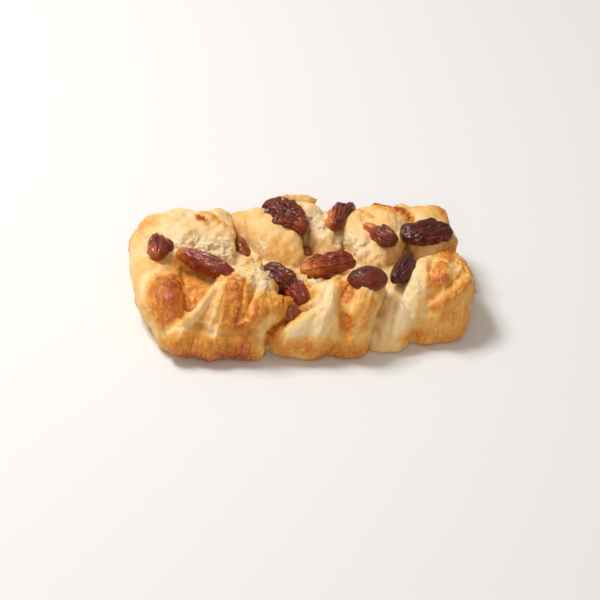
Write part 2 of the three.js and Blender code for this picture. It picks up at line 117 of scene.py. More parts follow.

# The marks on the folds. Each row is lift, reach and darkening, then the points that the
# mark runs through: lift raises a ridge or sinks a crease, darkening browns the crust
# above 0 and pales it below. Where noted, the darkening is painted shade, in whole or in part.
STROKES = (
    # Near left fold: pale rim, thin ridge, main ridge, cleft, side lobe
    (1.4, 3.6, -0.42, (-59.5, -31.5, 11.7), (-56.6, -32.5, 15.3), (-53, -32.6, 18.3),
     (-46, -27.7, 23.5), (-38.3, -19.5, 25.9)),
    (-1.3, 2.4, 0.3, (-48, -32.2, 18.7), (-45.4, -29.7, 21.9), (-38, -21, 26)),
    (0.9, 1.6, -0.3, (-42.4, -33, 19.6), (-39.9, -27.8, 24.8), (-37, -23, 26)),
    (-0.7, 1.8, 0.2, (-41, -35, 18), (-37.5, -28, 25), (-35.5, -22, 27)),
    (1.8, 8.2, 0.66, (-31.5, -19, 28), (-33, -23, 28.5), (-33.6, -29, 24.9),
     (-33.8, -34.4, 18.6)),
    (-0.3, 1.1, 0.3, (-34.5, -24, 28), (-35.6, -30, 23.5), (-36.5, -34, 18.6)),
    (-0.25, 1, 0.4, (-31.8, -26, 26.8), (-32.3, -29.5, 24.5), (-33.4, -33.5, 19.5)),
    (0, 9.5, 0.6, (-33.5, -22, 28), (-34.5, -29, 25)),
    (0, 2.8, 0.8, (-32.4, -31, 23), (-33.6, -34.5, 19.5)),
    (-3.4, 2.7, 0.25, (-24.2, -21, 28), (-25.4, -26.8, 27.9), (-28, -31, 26),
     (-29.9, -33.6, 23.4), (-31.3, -35.6, 20.4)),
    (3.4, 7.5, 0.2, (-15.5, -28.5, 21.5), (-20, -32, 21.5), (-25, -35.3, 20)),
    (0, 6.5, 0.6, (-18.5, -30.5, 25), (-23.5, -33.5, 23.5)),
    (0.8, 2, 0.2, (-14, -24, 23), (-18, -27.5, 27), (-22.5, -28, 28)),
    (-1.6, 3.5, 0, (-28.3, -36.4, 16.3), (-23.1, -35.6, 16), (-18.8, -33.6, 18)),
    # Near left fold: crease above the base roll, pale notch, base roll
    (-1.5, 2.4, 0.4, (-58.8, -31.5, 13.2), (-54.4, -34, 16.3), (-49.7, -33, 16.4),
     (-44.3, -36.5, 14.1), (-37.8, -37.6, 13.6), (-32, -37.5, 14.2), (-26.2, -37.3, 14.9)),
    (0, 2.6, -0.5, (-44.5, -35.5, 15.5), (-42.5, -36.5, 14.5)),
    (1.6, 7.5, 0.6, (-59.8, -34.7, 8.5), (-50.6, -36.9, 8.6), (-38.2, -38.1, 6.4),
     (-30, -39.6, 8.5)),
    (0, 7.5, 0.95, (-54, -38, 3), (-40, -39, 3), (-31, -40, 5)),
    (0, 5.5, -0.12, (-21.5, -38, 4), (-22.5, -37.2, 13), (-18, -35.4, 15)),
    # Seam between the near left and near middle folds
    (-3.5, 3, 0.45, (-1.9, -32.5, 22), (-7.4, -34.3, 20.9), (-12.1, -35.5, 19),
     (-16.6, -36.3, 16.2), (-19.8, -37.5, 12.7), (-20.5, -36.8, 1)),
    (-4, 4.6, 0.8, (-4.5, -22, 23), (-7.5, -27.5, 21.5), (-12.5, -33, 18)),
    (-6.5, 5, 0.7, (-3.5, -27, 25), (-6.9, -29.5, 24), (-10, -31, 21.5)),
    # A narrow dark line down the seam: painted shade in the deep crease
    (-1.2, 1.4, 1.2, (-7.4, -34.3, 20.9), (-12.1, -35.5, 19), (-16.6, -36.3, 16.2),
     (-19.8, -37.5, 12.7), (-20.8, -37.5, 4)),
    # Near middle fold: pale flank and its ridge, deep groove, right lobe, base
    (0.8, 5, -0.34, (-11, -38, 14), (-5.6, -37.4, 17), (1, -31, 23), (5.5, -25.5, 26.2)),
    (1.5, 3.4, -0.3, (9, -24, 27), (5.4, -32, 23.2), (1.9, -36.8, 18.7), (-0.6, -40, 11.5)),
    (-2.6, 3, 0.42, (12.6, -26, 27), (10, -31.2, 24.5), (11, -35.5, 19.9), (12, -38.9, 13.2)),
    (0, 3.2, 0.8, (12.7, -24, 27.4), (13.4, -30, 25.4)),
    (0, 2.6, 0.95, (12.9, -36.5, 19), (12.3, -38.4, 15.5)),
    (1.2, 2.2, 0.2, (17, -34.6, 24), (15.1, -37, 21.3), (13.6, -40, 15)),
    (0.7, 4.5, 0.3, (21.5, -33.8, 24), (19.7, -37, 21.5), (17.8, -39.8, 17)),
    (-2.2, 2.8, -0.3, (29, -26, 19), (25.7, -33.3, 10), (22.5, -38.7, 4.3)),
    (0.6, 5, 0.6, (-18.5, -38.8, 8.5), (-9.7, -40.5, 9.3), (0, -41.2, 8)),
    # Darker low on the near middle fold's left: partly browned crust, partly painted shade
    (0, 5, 0.7, (-17, -38, 12), (-14, -38.5, 6)),
    (0, 6, 0.7, (2.9, -41.4, 4), (8, -41, 4), (13.6, -41.3, 4), (19, -41.4, 5)),
    # Valley of plain dough
    (-0.7, 3.5, 0.02, (32.5, -18.3, 18.4), (28.4, -30, 15.1), (26.1, -35.1, 6.2)),
    (0.8, 1.6, 0, (34.5, -22, 18), (31, -31, 15), (28.5, -35.1, 8)),
    (-1.7, 2.4, -0.06, (37, -21, 19), (33.6, -30.4, 16.5), (32, -35.7, 10.4)),
    # Near right fold: pale flank, lumpy crest, crease, blistered bulge, base
    (0.5, 4.5, -0.34, (50, -3, 22), (42.4, -19.4, 24.8), (38, -27, 18.7), (35.5, -33.2, 12)),
    (0.5, 4, 0.75, (64.4, 7.2, 20.9), (60.4, -5, 26.7)),
    (0.8, 3.8, 0.6, (56.9, -11.7, 27.2), (54.2, -16.4, 26.5)),
    (0.9, 3.6, 0.85, (51.2, -21.7, 25), (55.5, -20.3, 25.6)),
    (-1.7, 2.6, 0.4, (64.3, -16.5, 24.8), (58.9, -21.8, 24.2), (54.5, -25, 23),
     (50.2, -26.4, 20)),
    (1.3, 3.4, 0.4, (66, -20.4, 23.7), (61.3, -25, 22), (56.5, -28, 20.4), (51, -29, 18)),
    (1.1, 8, 0.28, (55.3, -30.5, 15), (61.6, -29.7, 12)),
    (0, 4.5, 0.7, (39.6, -36.2, 7.5), (43.5, -34.8, 5)),
    (0, 7, 0.38, (46.9, -34.3, 4.6), (58.1, -32.5, 3.7), (66.3, -27.9, 8.2)),
    (0.5, 5, 0.6, (68.5, 2, 18), (69.5, -10.5, 20), (68.5, -21, 15)),
    # Left end: knob, the crease round it, golden side, bump behind
    (3.8, 7.6, 0.86, (-58.5, -13.5, 21), (-59.5, -21, 21)),
    (0, 8, 0.8, (-60, -23, 20), (-61, -27, 17)),
    (0, 2.6, -0.3, (-70, -14, 17.5), (-68, -4.5, 19), (-60, 0.5, 18.5)),
    (0, 4.6, 0.84, (-61.8, -12.5, 23), (-56.5, -11, 22)),
    (0, 1, 1.5, (-63.9, -11.8, 22), (-61.2, -8.8, 21.6), (-57.8, -7.8, 21)),
    (0.6, 6, 0.75, (-63.5, -15, 21), (-64, -22, 19)),
    (-4, 2.5, 0.7, (-64.5, -13, 21.5), (-62, -8.8, 21), (-58.5, -6.2, 20.3), (-54, -6.2, 19.3),
     (-51.6, -9.5, 18), (-51.2, -15.9, 19.5), (-52, -22, 20.5), (-53.6, -27, 19.5),
     (-55, -30, 16)),
    # A sunk stretch behind the near left fold's rim; its darkening is painted shadow
    (-5.5, 4.8, 0.55, (-51, -26.5, 21.5), (-48.3, -22.5, 23.8), (-45, -17.6, 24),
     (-41.5, -11, 22.5)),
    (0, 6, -0.1, (-64.1, -28.4, 10), (-60, -31, 8)),
    (0, 4.5, 0.85, (-51, -20, 18), (-52.5, -28, 18)),
    # The bump behind the knob: its darkening is partly golden crust, partly painted shade
    (0.3, 8, 0.84, (-47, 1, 17.5), (-47, -8, 17.5)),
    (1.6, 14, 0, (-69, -8, 12), (-69.3, 10, 14), (-68.5, 24, 16)),
    # Far left fold: browned corner edge, dark fleck, browned overlap
    (-0.7, 1.8, 0.3, (-67, 24.5, 22.5), (-64.1, 24.2, 26.2), (-59.4, 22, 29)),
    (0.5, 3.5, 0.35, (-66, 28, 24), (-61, 26, 28.6)),
    (-0.6, 2, 2, (-40.9, 23.6, 30.6), (-39.9, 23.2, 30.6)),
    (0.9, 2.4, 0.5, (-38.7, 27, 30), (-35, 23.4, 29.7), (-31, 21, 28.1)),
    (-0.8, 2.2, 0.15, (-37.2, 19.8, 29.1), (-33.4, 17.3, 28.2)),
    # Seams between the far folds
    (3.4, 8, 0.05, (-25, 32, 23), (-24, 38, 16)),
    (2.8, 7, -0.1, (10, 32, 23), (11, 27, 25)),
    (-2.2, 3, 0, (-23, 28, 27), (-22.7, 25.4, 25.7), (-23.2, 22.2, 22.1), (-24, 18.6, 17.6)),
    (-1.4, 2.6, 0.1, (4, 25, 25), (4.6, 22.9, 22.5), (3.8, 18.9, 18.9)),
    (-1.8, 2.4, 0.1, (18.6, 25.8, 24.8), (17.9, 17.7, 23.3), (16.5, 14.1, 21.7)),
    (-1.6, 2.6, 0.1, (50.8, 22.8, 26.7), (49.9, 13.3, 25.1), (49, 9, 21.5)),
    # Far folds: golden underside of the second, raised edge of the fourth, its browned
    # curl, and the browned end of the last
    (0, 6.5, 0.25, (-9, 9, 23), (-5, 4, 21), (-1, 8, 20)),
    (1.1, 1.8, 0.3, (28, 30, 28.5), (29.2, 26.9, 28.5), (33, 22.7, 28)),
    (1.3, 1.9, 1.2, (36.5, 32.5, 27), (40.3, 31.2, 28), (44, 28.4, 29), (48, 25.2, 29),
     (50.5, 22.5, 27)),
    (0, 3, 0.5, (38, 31, 28.5), (44, 27, 29.5)),
    (-0.7, 1.8, 0.6, (40.5, 28, 29), (44.5, 25.2, 28.8)),
    (0, 4.5, 0.6, (63, 33, 27), (65, 27, 28), (67, 20.8, 25)),
    (0, 9, 0.18, (55, 30, 28), (62, 22, 28)),
    (1.8, 7, 0.45, (68, 15, 20), (69, 2, 18)),
    (1.5, 4.6, 0.3, (67.2, 12, 22.5), (68.5, 7.5, 19)),
    (0.7, 1.3, 0.7, (66, -5, 24.5), (68.5, -12, 22.5), (69, -20, 18)),
    (-0.7, 1.2, 0.6, (64.6, -6, 25.5), (67, -13, 23.8), (67.5, -20, 20)),
    # Ends: the base swells out between the folds
    (3.2, 11, 0.1, (62, -8, 9), (62, 18, 9)),
    (2.6, 10, 0, (-62, -10, 6), (-62, 22, 6)),
    # Back wall: browned foot, slanting creases and swells over the rear edge
    (0, 9, 0.7, (-64, 38, 3), (-32, 41, 3)),
    (0, 9, 0.65, (-24, 41, 3), (20, 41, 3), (62, 39, 3)),
    (0.8, 8, 0.4, (-52, 38, 20), (-42, 39, 15)),
    (0.6, 7, 0.45, (-14, 38, 19), (-10, 40, 11)),
    (0.8, 8, 0.4, (30, 38, 19), (40, 39, 12)),
    (0.8, 7, 0.45, (60, 36, 18), (63, 37, 10)),
    (1.4, 7, 0.2, (-62, 37, 17), (-66, 31, 13)),
    (-1.4, 3, 0.15, (-54, 37, 19), (-49, 39.5, 13), (-45, 41, 4)),
    (1.2, 5, 0.3, (-43, 38.5, 19), (-38, 40.5, 12), (-34, 41, 5)),
    (-1.2, 2.6, 0.1, (-34, 37, 19), (-31, 39, 13), (-29, 40, 5)),
    (1.2, 4, 0.25, (-14, 38, 18), (-10, 40, 12), (-8, 41, 5)),
    (-1, 2.4, 0.1, (-19, 37, 18), (-16, 40, 10)),
    (-1.4, 2.6, 0.1, (25, 37, 18), (29, 40, 12), (32, 41, 4)),
    (1.2, 4.5, 0.35, (35, 38, 18), (39, 40, 12), (42, 41, 5)),
    (-1.2, 2.4, 0.2, (61, 35, 18), (64, 37, 12), (66, 38, 4)),
)

# Torn crumb shows white here: the middle of each patch, its radius and its strength
CRUMB = (
    ((-50, 10, 26), 5, 0.8), ((-42, 9, 26), 7, 0.95), ((-33, 8, 23), 7, 0.9),
    ((-19, -1, 25), 7, 1), ((-17, 10, 22), 5, 0.6), ((-18.5, -13, 27), 8, 1.2),
    ((-26, -11, 27), 8, 1.1), ((-22, -20, 28.5), 5, 1), ((11, 22, 24), 7, 0.55),
    ((1, -12, 22), 5, 0.8), ((21, 13, 23), 6, 0.95), ((25, 8, 23), 5, 0.7),
    ((10, 25, 26), 6, 0.62), ((42, -22, 22), 6, 0.42), ((38, -28, 17), 5, 0.32),
    ((-66, 12, 18), 6, 0.3),
)

# Spots where the folds are smoothed over: middle, inner and outer radius, and how much
SOFTENED = (
    ((-63, 38, 15), 11, 17, 1),
    ((-59, -17, 21), 6, 10, 0.8),
    ((-19, -31, 23), 6, 10, 0.85),
    ((60, -20, 24), 6, 12, 0.5),
    ((0, -33, 20), 8, 14, 0.7),
    ((45, -23, 22), 7, 12, 0.7),
    ((33, -31, 11), 8, 13, 0.6),
)
# The knob's skin is calmer: its middle, inner and outer radius, and the relief left there
KNOB = ((-59, -17, 22), 8, 12, 0.25)
# The bottom edge rounds in below this height, by this much at the plait's half size
TUCK = {"height": 6.0, "inward": 3.6, "half": (68, 41)}

# The nuts. at, size and turn are close to those of the solids. wrinkles are the depth of
# the middle groove, the number of ribs and how deep they are. tone is how light the nut
# is, and glow (x, y, strength) its paler end. point is how pointed its ends are. Each
# lobe is (x, y, z, half length, half width, half height, yaw), as shares of the half size.
Nut = namedtuple("Nut", "at size turn wrinkles tone glow lobes point", defaults=(0.62,))
PECANS = (
    Nut((-59.5, 12, 24.5), (17, 10, 8), 80, (0.15, 1.6, 0.8), 0.32, (-1, 0.5, 0.35),
        ((0, 0.1, 0, 1, 0.85, 1, 0), (0.1, -0.55, 0, 0.45, 0.55, 0.8, 70))),
    Nut((-42, -1, 24), (28, 10, 9), -42, (0.15, 2, 0.6), 0.42, (-1, 0, 0.5),
        ((0, 0, 0, 1, 0.9, 1, 0),)),
    Nut((-4, 25, 29.5), (23, 15, 9), -62, (0.3, 3.2, 1.3), 0.25, (1, 0, 0.2),
        ((-0.12, 0, 0, 0.88, 1, 1, 0), (0.78, 0.1, -0.1, 0.35, 0.5, 0.7, 30))),
    Nut((20, 27, 26.5), (19.5, 10, 9), 66, (0.2, 2.4, 1.1), 0.32, (-0.5, 1, 0.6),
        ((-0.05, 0.15, 0, 0.92, 0.8, 0.95, 0), (0.4, -0.5, 0.05, 0.6, 0.5, 0.85, -8))),
    Nut((35, 11, 27.5), (17.5, 8.5, 7), -55, (0.2, 2, 1), 0.3, (-1, -0.3, 0.6),
        ((0.22, -0.1, 0, 0.72, 0.95, 0.95, 12), (-0.56, -0.15, 0.1, 0.5, 0.5, 0.75, 8),
         (0.15, 0.75, 0.1, 0.62, 0.26, 0.7, -12))),
    Nut((55, 12, 27), (24, 15, 8), 8, (0.28, 3.4, 1.1), 0.12, (0, -1, 0.1),
        ((-0.05, -0.05, 0, 0.94, 0.88, 1, 0), (0.22, 0.5, 0.05, 0.36, 0.5, 0.8, 14),
         (-0.55, 0.3, 0, 0.36, 0.5, 0.8, -20), (0.6, -0.1, -0.05, 0.3, 0.66, 0.85, 6))),
    Nut((9, -6, 24.5), (25, 11, 8), 12, (0.2, 2.6, 1.2), 0.45, (-1, -0.2, 0.45),
        ((0, -0.15, 0, 1, 0.72, 0.85, 0), (-0.42, 0.35, 0.15, 0.45, 0.6, 0.85, 15),
         (0.38, 0.35, 0.2, 0.58, 0.55, 0.9, -6))),
    Nut((23, -21, 27.6), (17, 13, 8), 5, (0, 1, 0.4), 0.22, (0, -1, 0.12),
        ((-0.04, -0.1, 0, 1.02, 1.06, 1.2, -4),), 1.15),
    Nut((41, -10, 24), (21, 10, 8), 58, (0.1, 1.8, 0.9), 0.14, (0, 1, 0.15),
        ((0, 0.2, 0.05, 1, 0.62, 0.95, 0), (-0.12, -0.42, 0, 0.72, 0.56, 0.85, -4))),
    Nut((-11, -16, 23), (25, 12, 10), -60, (0.25, 3, 1.4), 0.27, (1, 0, 0.2),
        ((-0.3, 0, 0.1, 0.7, 1, 1, 6), (0.6, 0.05, -0.05, 0.56, 0.7, 0.85, -18))),
)

# Thin torn sheets of pastry: the middle of the root edge, then turn about +Z, tilt up and
# roll about the length in degrees, then length, width and thickness, how far the sheet
# curls in degrees, and how browned it is
FLAKES = (
    ((-6, 32.5, 29.3), (3, 6, 50), (17, 9, 1.6), -6, 0.16),
    ((-28, -14, 26.5), (62, 12, 20), (7, 6, 0.9), 60, 0.1),
    ((-26, -10, 26), (40, 14, -20), (7, 5, 0.8), 70, 0.16),
    ((-23, -11, 27), (60, 12, 15), (7, 5, 0.8), 70, 0.12),
    ((-25.5, -8.5, 25.5), (-8, 42, 8), (10, 4, 0.9), -100, 0.22),
    ((-25, -17, 28), (95, 10, -10), (7, 5, 0.8), 40, 0.12),
    ((-23.5, -21, 28), (40, 8, 25), (6, 4.5, 0.8), 50, 0.15),
    ((-20, -16, 27), (110, 10, 30), (6, 5, 0.8), 50, 0.1),
    ((-9, -5, 22.5), (-58, 2, 55), (10, 6, 1.1), -20, 0.2),
    ((-5, -12, 23), (-62, 4, 65), (12, 6, 1.1), 16, 0.25),
    ((8, -24, 26), (50, 12, 10), (5, 4, 0.8), 50, 0.3),
    ((14, -9, 22), (-10, 5, 40), (9, 4, 0.9), 30, 0.25),
)
# How ragged a flake's edge and end are and how wavy it is, and the same for a long flap
FLAKE_WAVER = (0.3, 0.3, 0.08)
FLAP_WAVER = (0.06, 0.04, 0.02)
FLAP_LENGTH = 12

# Rings and sides of the grids that the shapes start from
FOLD_GRID = (170, 150)
BASE_GRID = (90, 160)
WELL_GRID = (60, 60)
FLAKE_GRID = (36, 40)
NUT_GRID = (84, 112)
# Voxel sizes in millimetres, and the most triangles for the dough
DOUGH_VOXEL = 0.46
FILLING_VOXEL = 0.7
NUT_VOXEL = 0.25
MOST_TRIANGLES = 190000

# Heights of the folds' fine relief in millimetres, the share of it left at the foot,
# and the distance between layer edges
PLEAT_HEIGHT = 0.75
LAYER_HEIGHT = 0.7
BLISTER_HEIGHT = 0.7
TORN_HEIGHT = 1.1
FOOT_RELIEF = 0.35
LAYER_STEP = 5.5
# Heights of torn crumb, crackled glaze and wrinkles, of a nut's ribs and skin, and the
# width of its groove as a share of its half width
CRUMB_HEIGHT = 0.65
CRACKLE_HEIGHT = 0.34
WRINKLE_HEIGHT = 0.1
RIB_HEIGHT = 0.17
NUT_SKIN_HEIGHT = 0.12
GROOVE_WIDTH = 0.17
# The gap that keeps the folds' patterns apart, and how browned the base is
FLOW_GAP = 60.0
BASE_BAKE = 0.12
# How much the marks darken, where ridges and paint end as a share of their reach, and
# how a crease falls off and how sharp it is
PAINT = 0.7
RIDGE_END = 1.1
PAINT_END = 1.6
CREASE_FALL = 0.9
CREASE_SHARPNESS = 1.5
# Rounds of smoothing for the softened spots and for the bake
SOFT_ROUNDS = 50
BAKE_ROUNDS = 25
# How high a point stands over its surroundings: rounds of smoothing, and gain
HEIGHTS = {"ridge": (12, 2.2), "crest": (90, 0.7)}
# First seeds, and the steps from one fold or flake, nut and lobe to the next
FOLD_SEED, FLAKE_SEED, LOBE_SEED, NUT_SEED = 40, 800, 100, 400
SEED_STEP, NUT_STEP, LOBE_STEP = 10, 20, 5

# Noise by what it makes: strength, cell size in millimetres, number of layers, and seed
WOBBLE = (2.2, (14, 9, 1), 1, 0)
PLEATS = (2.2, (26, 4.2, 1), 3, 1)
LAYER_DRIFT = (0.8, (20, 9, 1), 1, 2)
BLISTERS = (1, 3.4, 2, 3)
TORN_END = (1, 2.6, 3, 4)
TORN_END_FINE = (0.5, 1.1, 1, 5)
BASE_LUMPS = (0.8, 6, 3, 3)
MARK_EDGE = (0.28, 3.5, 3, 9)
MARK_HEIGHT = (0.22, 4.5, 2, 15)
CRUMB_EDGE = (0.35, 4, 3, 5)
CRUMB_LUMPS = (1, 2.1, 3, 21)
CRUMB_GRAIN = (0.6, 0.9, 1, 25)
CRUMB_HOLES = (1, 1.8, 1, 27)
CRACKLE = (1.8, 2.3, 2, 61)
WRINKLES = (1.6, (7, 1.9, 1), 3, 31)
FILLING_LUMPS = (0.5, 3, 3, 51)
FLAKE_TEAR = (1, (2.4, 1, 1), 2, 0)
FLAKE_WAVE = (1, 4.5, 2, 1)
FLAKE_TONE = (0.2, 3, 2, 71)
NUT_BEND = (0.16, 4.5, 1, 0)
RIB_WAVE = (0.5, 3, 1, 1)
NUT_GRAIN = (0.1, 2.2, 1, 2)
NUT_LUMPS = (0.12, 5.5, 1, 3)
NUT_SKIN = (1, 1.3, 2, 0)
NUT_TONE = (0.35, 4, 2, 3)

# The camera stands where the photograph's did: a long lens, 35 degrees above the table
# and turned 13 degrees to the plait, which slopes down a little in the picture. It aims
# a little behind the middle.
LENS_MM = 180.0
SENSOR_MM = 36.0
CLIP = (0.05, 20.0)
DISTANCE = 1.274
ELEVATION = math.radians(35)
YAW = math.radians(13)
ROLL = math.radians(5.4)
AIM_MM = 4.0

# Each light's name, power, size, place and colour, in metres and watts
LIGHTS = (
    ("key", 9.35, 0.36, (-0.5, 0.3, 0.95), (0.99, 0.99, 1)),
    ("fill", 2.2, 0.3, (-0.3, -1.0, 0.7), (1, 0.96, 0.9)),
    ("glint", 0.8, 0.06, (-0.3, 0.42, 0.72), (1, 1, 1)),
)
LIGHT_AIM = (0, 0, 0.01)
SKY = {"Color": (1, 0.92, 0.82, 1), "Strength": 0.39}
TABLE = {"Base Color": (0.8, 0.8, 0.8, 1), "Roughness": 0.7}
TABLE_REACH = 6.0


def lattice(cell, seed):
    """A repeatable value in -1 to 1 for each whole-number cell."""
    n = cell[:, 0] * 374761393 + cell[:, 1] * 668265263 + cell[:, 2] * 1274126177 + seed * 97531
    for shift in (13, 15):
        n = (n ^ (n >> shift)) & 0x7FFFFFFF
        n = (n * 1103515245 + 12345) & 0x7FFFFFFF
    return ((n >> 8) & 0xFFFF) / 32767.5 - 1


def noise(points, seed):
    """Smooth value noise in -1 to 1 at each point."""
    whole = np.floor(points).astype(np.int64)
    part = points - whole
    fade = part * part * part * (part * (part * 6 - 15) + 10)
    total = np.zeros(len(points))
    for corner in np.ndindex(2, 2, 2):
        weight = np.prod(np.where(corner, fade, 1 - fade), axis=1)
        total += weight * lattice(whole + corner, seed + SEED)
    return total


def layered_noise(points, octaves, seed):
    """Noise with finer and weaker layers added to it."""
    total = np.zeros(len(points))
    for k in range(octaves):
        total += noise(points * 2.03 ** k + 7.1 * k, seed + k) / 2 ** k
    return total


def ripple(points, recipe, shift=0):
    """Layered noise from a recipe of strength, cell size, layers and seed."""
    strength, cell, octaves, seed = recipe
    return strength * layered_noise(points / cell, octaves, seed + shift)


def smooth_step(low, high, x):
    t = np.clip((x - low) / (high - low), 0, 1)
    return t * t * (3 - 2 * t)


def unit(vectors):
    return vectors / np.maximum(np.linalg.norm(vectors, axis=-1, keepdims=True), 1e-9)


def signed_power(x, power):
    return np.sign(x) * np.abs(x) ** power


def distance(points, place):
    return np.linalg.norm(points - place, axis=1)


def through(stations, u):
    """A value that runs smoothly through foot, crown and tip."""
    foot, crown, tip = stations
    t = np.where(u < CROWN_AT, u / CROWN_AT, (u - CROWN_AT) / (1 - CROWN_AT))
    ease = t * t * (3 - 2 * t)
    return np.where(u < CROWN_AT, foot + (crown - foot) * ease, crown + (tip - crown) * ease)


def fold_line(fold, u):
    """The middle line: an arch up from the foot to the crown, then on to the tip."""
    foot, crown, tip = fold.foot, fold.crown, fold.tip
    rise = np.clip(u / CROWN_AT, 0, 1)
    out = np.cos(rise * math.pi / 2).clip(0) ** WALL_POWER
    up = np.sin(rise * math.pi / 2) ** WALL_POWER
    arch = np.stack([
        foot[0] + (crown[0] - foot[0]) * rise,
        crown[1] + (foot[1] - crown[1]) * out,
        FOOT_Z + (crown[2] - FOOT_Z) * up,
    ], -1)
    t = np.clip((u - CROWN_AT) / (1 - CROWN_AT), 0, 1)
    run = np.stack([
        crown[0] + (tip[0] - crown[0]) * t,
        crown[1] + (tip[1] - crown[1]) * t,
        crown[2] + (tip[2] - crown[2]) * t * t,
    ], -1)
    return np.where((u < CROWN_AT)[..., None], arch, run)


def fullness(u):
    """How full a fold is along its length: round at both ends, 1 between them."""
    short = np.maximum(np.maximum(1 - u / CAP_FOOT, 1 - (1 - u) / CAP_TIP), 0)
    return np.sqrt(np.maximum(0, 1 - short ** 2))


def turned(vectors, axes, angles):
    """Each vector turned about its unit axis by its angle."""
    c, s = np.cos(angles)[:, None], np.sin(angles)[:, None]
    along = np.sum(vectors * axes, axis=1, keepdims=True)
    return vectors * c + np.cross(axes, vectors) * s + axes * along * (1 - c)


def turned_flat(points, degrees):
    """The points turned about +Z."""
    c, s = math.cos(math.radians(degrees)), math.sin(math.radians(degrees))
    x, y, z = points.T
    return np.stack([x * c - y * s, x * s + y * c, z], -1)


def crags(points):
    total = np.zeros(points.shape[:-1])
    for wave in CRAGS:
        height = wave["lift"]
        for k in range(3):
            turns = 2 * math.pi * points[..., k] / wave["length"][k]
            height = height * np.sin(turns + wave["phase"][k])
        total += height
    return total


def crossed(first, second):
    """Each value of the first list paired with each of the second."""
    return [values.reshape(-1) for values in np.meshgrid(first, second, indexing="ij")]


def full_turn(sides):
    return np.linspace(0, 2 * math.pi, sides, endpoint=False)


def ball_angles(grid):
    """The angle from the pole and the angle round it, for each point of a ball."""
    rings, sides = grid
    return crossed(np.linspace(0, math.pi, rings), full_turn(sides))


def joined(grids):
    """One mesh's points and faces, from grids of points with their rings and sides. A
    grid's end rings close to a point or a line, so it needs no caps."""
    faces, start = [], 0
    for points, (rings, sides) in grids:
        ring, side = np.meshgrid(np.arange(rings - 1), np.arange(sides), indexing="ij")
        a = ring * sides + side
        b = ring * sides + (side + 1) % sides
        quads = np.stack([a, b, b + sides, a + sides], -1).reshape(-1, 4)
        faces += (quads + start).tolist()
        start += len(points)
    return np.concatenate([points for points, _ in grids]), faces


def fine_relief(fold, along, across, u, number):
    """Pleats, thin layer edges, blisters and torn ends, in millimetres outward."""
    pleat, layer, blister, torn = fold.relief
    seed = FOLD_SEED + SEED_STEP * number
    flow = np.stack([along, across, np.zeros_like(along)], -1)
    wobble = ripple(flow, WOBBLE, seed)
    drift = flow + wobble[:, None] * (0, 1, 0)
    pleats = np.clip(1 - np.abs(ripple(drift, PLEATS, seed)), -0.6, 1)
    ramp = drift[:, 1] / LAYER_STEP + ripple(drift, LAYER_DRIFT, seed)
    ramp = ramp - np.floor(ramp)
    slope = ramp ** 1.4
    layers = slope - smooth_step(0.9, 1.0, ramp) * slope
    bumps = np.maximum(0, ripple(flow, BLISTERS, seed)) ** 0.7
    ragged = ripple(flow, TORN_END, seed) + ripple(flow, TORN_END_FINE, seed)
    near_tip = smooth_step(0.55, 0.85, u)
    relief = PLEAT_HEIGHT * pleat * pleats + LAYER_HEIGHT * layer * layers
    relief = relief + BLISTER_HEIGHT * blister * bumps
    relief = relief * (1 - 0.5 * near_tip * torn)
    return relief + TORN_HEIGHT * torn * near_tip * ragged


def fold_axes(fold, u, outward):
    """Unit vectors ahead, across and outward at each place along a fold."""
    step = 0.01
    later, earlier = np.minimum(1, u + step), np.maximum(0, u - step)
    ahead = unit(fold_line(fold, later) - fold_line(fold, earlier))
    across = np.array((1.0, 0, 0)) - ahead * ahead[:, :1]
    across = unit(across) * -outward
    outer = np.cross(across, ahead)
    roll = np.radians(through((0, *fold.roll), u))
    return turned(across, ahead, roll), turned(outer, ahead, roll)


def fold_grid(fold, number):
    """The fold's surface as a grid of points, with its place along and across it."""
    rings, sides = FOLD_GRID
    u_ring = 0.5 - 0.5 * np.cos(math.pi * np.linspace(0, 1, rings))
    u, around = crossed(u_ring, full_turn(sides))
    side = signed_power(np.cos(around), SECTION_POWER)
    top = signed_power(np.sin(around), SECTION_POWER)
    across, outer = fold_axes(fold, u, np.sign(fold.foot[1]))
    full = fullness(u)
    thick = through(fold.thick, u)
    for at, depth, spread in fold.grooves:
        thick = thick - depth * np.exp(-(((side - at) / spread) ** 2)) * (top > 0)
    width = through(fold.half, u) * full * side
    points = fold_line(fold, u) + across * width[:, None]
    points = points + outer * (thick * full * top)[:, None]
    points = points + outer * (crags(points) * full * top)[:, None]
    line = fold_line(fold, u_ring)
    run = np.concatenate([[0], np.cumsum(np.linalg.norm(np.diff(line, axis=0), axis=1))])
    along = np.repeat(run, sides)
    grid = points.reshape(rings, sides, 3)
    lengthwise = np.gradient(grid, axis=0)
    crosswise = np.roll(grid, -1, axis=1) - np.roll(grid, 1, axis=1)
    normal = unit(np.cross(crosswise, lengthwise).reshape(-1, 3))
    facing = np.sum(normal * outer, axis=1) * top
    normal = normal * np.where(facing.mean() > 0, 1, -1)
    reach = smooth_step(0.0, 0.5, full) * smooth_step(-0.5, 0.1, top)
    reach = reach * (FOOT_RELIEF + (1 - FOOT_RELIEF) * smooth_step(1, 9, points[:, 2]))
    relief = fine_relief(fold, along, width, u, number)
    points = points + normal * (relief * reach)[:, None]
    return points, np.stack([along, width, np.full_like(along, FLOW_GAP * number)], -1)


def base_points():
    """The middle sheet of dough, a low loaf with square shoulders."""
    tilt, turn = ball_angles(BASE_GRID)
    x, y, z = np.sin(tilt) * np.cos(turn), np.sin(tilt) * np.sin(turn), np.cos(tilt)
    flat = np.hypot(x, y)
    corner = np.maximum(np.maximum(np.abs(x), np.abs(y)), 1e-9)
    square = 1 + (flat / corner - 1) * BASE["squareness"]
    points = np.stack([
        x * square * BASE["half"][0],
        y * square * BASE["half"][1],
        BASE["middle"] + signed_power(z, BASE["flatness"]) * BASE["rise"],
    ], -1)
    points[:, 2] += ripple(points, BASE_LUMPS) * (points[:, 2] > BASE["middle"])
    return points


